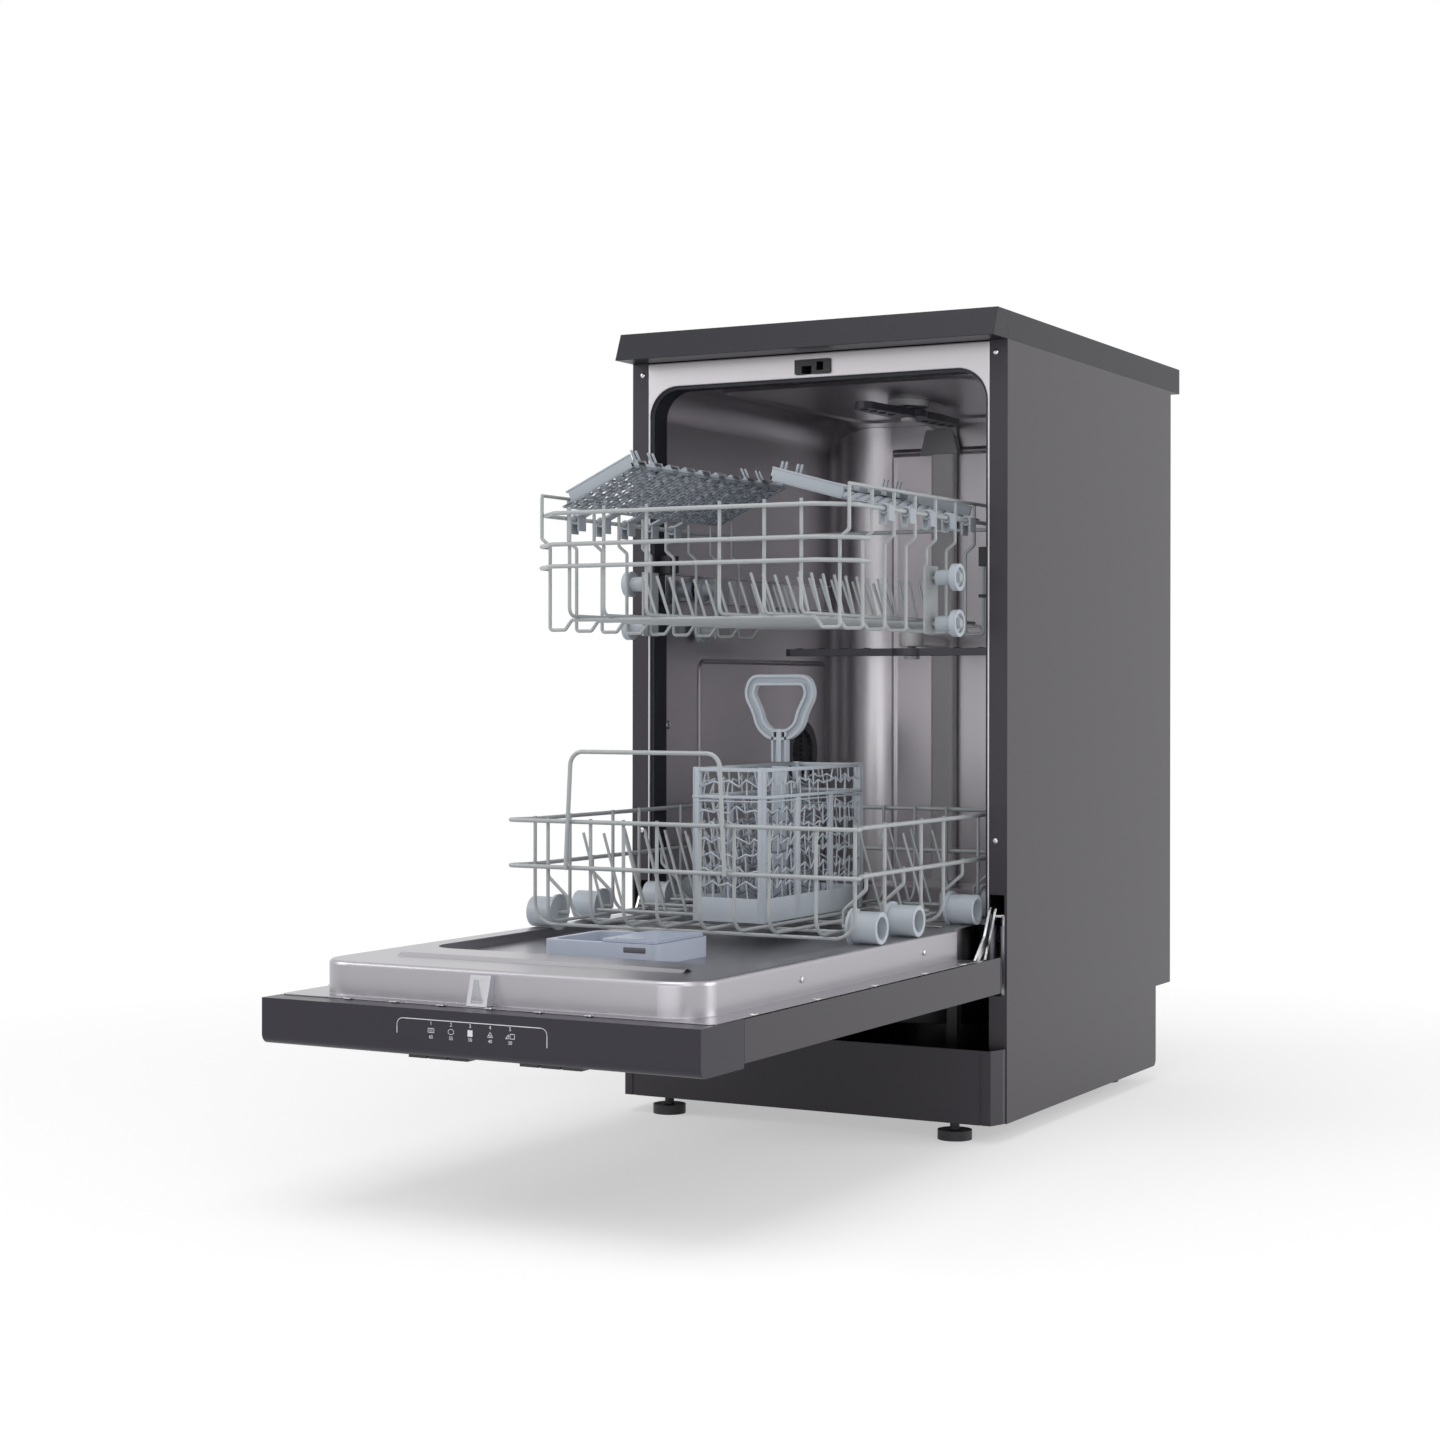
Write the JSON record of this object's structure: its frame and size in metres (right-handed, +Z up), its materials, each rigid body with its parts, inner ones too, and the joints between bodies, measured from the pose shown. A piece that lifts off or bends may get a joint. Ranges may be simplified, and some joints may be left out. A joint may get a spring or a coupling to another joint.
{
  "type": "freestanding dishwasher",
  "caption": "Slim freestanding dishwasher with drop-down door, two sliding wire racks, folding cup shelves, spray arms, pumps, detergent dispenser and lift-out cutlery basket.",
  "frame": {"origin": "centre of the bounding box at floor level, with the door open", "axes": "+X right seen from the front, +Y to the back of the cabinet, +Z up"},
  "size_m": [0.45, 1.215, 0.862],
  "materials": {
    "black_enamel": "satin dark enamel on sheet steel",
    "black_laminate": "dark laminate on board",
    "stainless": "brushed stainless sheet",
    "bright_steel": "bright plated steel",
    "spring_steel": "drawn spring wire",
    "gasket_rubber": "soft black seal",
    "black_plastic": "moulded black plastic",
    "dark_grey_plastic": "moulded dark grey plastic",
    "white_plastic": "moulded white plastic",
    "concrete": "rough cast concrete",
    "circuit_board": "green circuit board",
    "coated_wire": "grey nylon coated wire",
    "light_grey_plastic": "moulded light grey plastic",
    "dispenser_grey": "moulded blue grey plastic",
    "button_grey": "dark grey buttons",
    "foot_plastic": "black plastic foot"
  },
  "bodies": {
    "cabinet": {"worktop": "black_laminate", "side_panel_left": "black_enamel", "side_panel_right": "black_enamel", "rear_panel": "black_enamel", "tub_shell": "stainless", "tub_floor": "stainless", "door_gasket": "gasket_rubber", "base_tray": "black_plastic", "kick_plate": "black_enamel", "sump_housing": "black_plastic", "circulation_pump": "white_plastic", "drain_pump": "white_plastic", "softener_tank": "white_plastic", "inlet_valve": "black_plastic", "upper_rails": "bright_steel", "rail_end_caps": "black_plastic", "feed_pipe": "dark_grey_plastic", "door_lock": "black_plastic", "hinge_brackets": "bright_steel", "door_springs": "spring_steel", "counterweight": "concrete", "air_break": "dark_grey_plastic"},
    "door": {"door_outer_panel": "black_enamel", "control_panel": "black_plastic", "door_liner": "stainless", "dispenser_body": "dispenser_grey", "hinge_arms": "bright_steel", "latch_strike": "bright_steel", "control_board": "circuit_board"},
    "upper_rack": {"upper_rack_wires": "coated_wire"},
    "lower_rack": {"lower_rack_wires": "coated_wire"},
    "wheel_clips": {"rear_wheel_clips": "light_grey_plastic"},
    "button_1": {"button_1": "button_grey"},
    "button_2": {"button_2": "button_grey"},
    "button_3": {"button_3": "button_grey"},
    "button_4": {"button_4": "button_grey"},
    "button_5": {"button_5": "button_grey"},
    "button_6": {"button_6": "button_grey"},
    "foot_front_left": {"foot_front_left": "foot_plastic"},
    "foot_front_right": {"foot_front_right": "foot_plastic"},
    "foot_rear_left": {"foot_rear_left": "foot_plastic"},
    "foot_rear_right": {"foot_rear_right": "foot_plastic"},
    "lower_spray_arm": {"lower_spray_arm": "dark_grey_plastic"},
    "middle_spray_arm": {"middle_spray_arm": "dark_grey_plastic"},
    "ceiling_spray_arm": {"ceiling_spray_arm": "dark_grey_plastic"},
    "upper_rollers_front_high": {"upper_rollers_front_high": "light_grey_plastic"},
    "upper_rollers_front_low": {"upper_rollers_front_low": "light_grey_plastic"},
    "upper_rollers_rear_high": {"upper_rollers_rear_high": "light_grey_plastic"},
    "upper_rollers_rear_low": {"upper_rollers_rear_low": "light_grey_plastic"},
    "lower_wheels_1": {"lower_wheels_1": "light_grey_plastic"},
    "lower_wheels_2": {"lower_wheels_2": "light_grey_plastic"},
    "lower_wheels_3": {"lower_wheels_3": "light_grey_plastic"},
    "lower_wheels_4": {"lower_wheels_4": "light_grey_plastic"},
    "salt_cap": {"salt_cap": "white_plastic"},
    "filter_cup": {"filter_cup": "white_plastic"},
    "dispenser_lid": {"dispenser_lid": "dispenser_grey"},
    "dispenser_latch": {"dispenser_latch": "dispenser_grey"},
    "cup_shelf_left": {"cup_shelf_left": "light_grey_plastic"},
    "cup_shelf_right": {"cup_shelf_right": "light_grey_plastic"},
    "cutlery_basket": {"cutlery_basket": "light_grey_plastic"}
  },
  "joints": [
    {"name": "door_hinge", "type": "hinge", "parent": "cabinet", "child": "door", "pos_m": [0, 0.038, 0.1815], "axis": [-1, 0, 0], "range_deg": [0, 8], "deforming": ["door_springs"]},
    {"name": "upper_rack_slide", "type": "slide", "parent": "cabinet", "child": "upper_rack", "axis": [0, -1, 0], "range_m": [-0.345, 0]},
    {"name": "lower_rack_slide", "type": "slide", "parent": "cabinet", "child": "wheel_clips", "axis": [0, -1, 0], "range_m": [-0.36, 0]},
    {"name": "lower_rack_pitch", "type": "hinge", "parent": "wheel_clips", "child": "lower_rack", "pos_m": [0, 0.1225, 0.2398], "axis": [-1, 0, 0], "range_deg": [0, 6.2]},
    {"name": "lower_wheels_1_spin", "type": "hinge", "parent": "lower_rack", "child": "lower_wheels_1", "pos_m": [0, -0.1995, 0.2398], "axis": [1, 0, 0], "continuous": true},
    {"name": "lower_wheels_2_spin", "type": "hinge", "parent": "lower_rack", "child": "lower_wheels_2", "pos_m": [0, -0.1125, 0.2398], "axis": [1, 0, 0], "continuous": true},
    {"name": "lower_wheels_3_spin", "type": "hinge", "parent": "lower_rack", "child": "lower_wheels_3", "pos_m": [0, 0.0355, 0.2398], "axis": [1, 0, 0], "continuous": true},
    {"name": "lower_wheels_4_spin", "type": "hinge", "parent": "wheel_clips", "child": "lower_wheels_4", "pos_m": [0, 0.1225, 0.2398], "axis": [1, 0, 0], "continuous": true},
    {"name": "upper_rollers_front_high_spin", "type": "hinge", "parent": "upper_rack", "child": "upper_rollers_front_high", "pos_m": [0, -0.0115, 0.583], "axis": [1, 0, 0], "continuous": true},
    {"name": "upper_rollers_front_low_spin", "type": "hinge", "parent": "upper_rack", "child": "upper_rollers_front_low", "pos_m": [0, -0.0115, 0.536], "axis": [1, 0, 0], "continuous": true},
    {"name": "upper_rollers_rear_high_spin", "type": "hinge", "parent": "upper_rack", "child": "upper_rollers_rear_high", "pos_m": [0, 0.1525, 0.583], "axis": [1, 0, 0], "continuous": true},
    {"name": "upper_rollers_rear_low_spin", "type": "hinge", "parent": "upper_rack", "child": "upper_rollers_rear_low", "pos_m": [0, 0.1525, 0.536], "axis": [1, 0, 0], "continuous": true},
    {"name": "cup_shelf_left_fold", "type": "hinge", "parent": "upper_rack", "child": "cup_shelf_left", "pos_m": [-0.177, 0.0475, 0.645], "axis": [0, -1, 0], "range_deg": [0, 35]},
    {"name": "cup_shelf_right_fold", "type": "hinge", "parent": "upper_rack", "child": "cup_shelf_right", "pos_m": [0.177, 0.0475, 0.645], "axis": [0, 1, 0], "range_deg": [0, 45]},
    {"name": "cutlery_basket_lift", "type": "slide", "parent": "lower_rack", "child": "cutlery_basket", "axis": [0, 0, 1], "range_m": [0, 0.02]},
    {"name": "lower_spray_arm_spin", "type": "hinge", "parent": "cabinet", "child": "lower_spray_arm", "pos_m": [0, 0.3085, 0.19], "axis": [0, 0, 1], "continuous": true},
    {"name": "middle_spray_arm_spin", "type": "hinge", "parent": "cabinet", "child": "middle_spray_arm", "pos_m": [0, 0.3085, 0.512], "axis": [0, 0, 1], "continuous": true},
    {"name": "ceiling_spray_arm_spin", "type": "hinge", "parent": "cabinet", "child": "ceiling_spray_arm", "pos_m": [0, 0.2975, 0.789], "axis": [0, 0, 1], "continuous": true},
    {"name": "dispenser_lid_slide", "type": "slide", "parent": "door", "child": "dispenser_lid", "axis": [-1, 0, 0], "range_m": [0, 0.055]},
    {"name": "dispenser_latch_press", "type": "slide", "parent": "dispenser_lid", "child": "dispenser_latch", "axis": [0, 0, -1], "range_m": [0, 0.0012], "stiffness_N_per_m": 300, "springref_m": -0.001},
    {"name": "button_1_press", "type": "slide", "parent": "door", "child": "button_1", "axis": [0, 0, 1], "range_m": [0, 0.0015], "stiffness_N_per_m": 300, "springref_m": -0.001},
    {"name": "button_2_press", "type": "slide", "parent": "door", "child": "button_2", "axis": [0, 0, 1], "range_m": [0, 0.0015], "stiffness_N_per_m": 300, "springref_m": -0.001},
    {"name": "button_3_press", "type": "slide", "parent": "door", "child": "button_3", "axis": [0, 0, 1], "range_m": [0, 0.0015], "stiffness_N_per_m": 300, "springref_m": -0.001},
    {"name": "button_4_press", "type": "slide", "parent": "door", "child": "button_4", "axis": [0, 0, 1], "range_m": [0, 0.0015], "stiffness_N_per_m": 300, "springref_m": -0.001},
    {"name": "button_5_press", "type": "slide", "parent": "door", "child": "button_5", "axis": [0, 0, 1], "range_m": [0, 0.0015], "stiffness_N_per_m": 300, "springref_m": -0.001},
    {"name": "button_6_press", "type": "slide", "parent": "door", "child": "button_6", "axis": [0, 0, 1], "range_m": [0, 0.0015], "stiffness_N_per_m": 300, "springref_m": -0.001},
    {"name": "salt_cap_turn", "type": "hinge", "parent": "cabinet", "child": "salt_cap", "pos_m": [-0.105, 0.1975, 0.175], "axis": [0, 0, 1], "range_deg": [0, 180]},
    {"name": "filter_cup_turn", "type": "hinge", "parent": "cabinet", "child": "filter_cup", "pos_m": [0.075, 0.2625, 0.173], "axis": [0, 0, 1], "range_deg": [0, 90]},
    {"name": "foot_front_left_turn", "type": "hinge", "parent": "cabinet", "child": "foot_front_left", "pos_m": [-0.171, 0.0375, 0.01], "axis": [0, 0, 1], "continuous": true},
    {"name": "foot_front_right_turn", "type": "hinge", "parent": "cabinet", "child": "foot_front_right", "pos_m": [0.171, 0.0375, 0.01], "axis": [0, 0, 1], "continuous": true},
    {"name": "foot_rear_left_turn", "type": "hinge", "parent": "cabinet", "child": "foot_rear_left", "pos_m": [-0.171, 0.4875, 0.01], "axis": [0, 0, 1], "continuous": true},
    {"name": "foot_rear_right_turn", "type": "hinge", "parent": "cabinet", "child": "foot_rear_right", "pos_m": [0.171, 0.4875, 0.01], "axis": [0, 0, 1], "continuous": true}
  ],
  "couplings": [
    {"joint": "lower_rack_pitch", "follows": "door_hinge", "ratio": 0.755},
    {"joint": "lower_wheels_1_spin", "follows": "lower_rack_slide", "rad_per_m": 64.516},
    {"joint": "lower_wheels_2_spin", "follows": "lower_rack_slide", "rad_per_m": 64.516},
    {"joint": "lower_wheels_3_spin", "follows": "lower_rack_slide", "rad_per_m": 64.516},
    {"joint": "lower_wheels_4_spin", "follows": "lower_rack_slide", "rad_per_m": 64.516},
    {"joint": "upper_rollers_front_high_spin", "follows": "upper_rack_slide", "rad_per_m": 71.429},
    {"joint": "upper_rollers_rear_high_spin", "follows": "upper_rack_slide", "rad_per_m": 71.429}
  ]
}
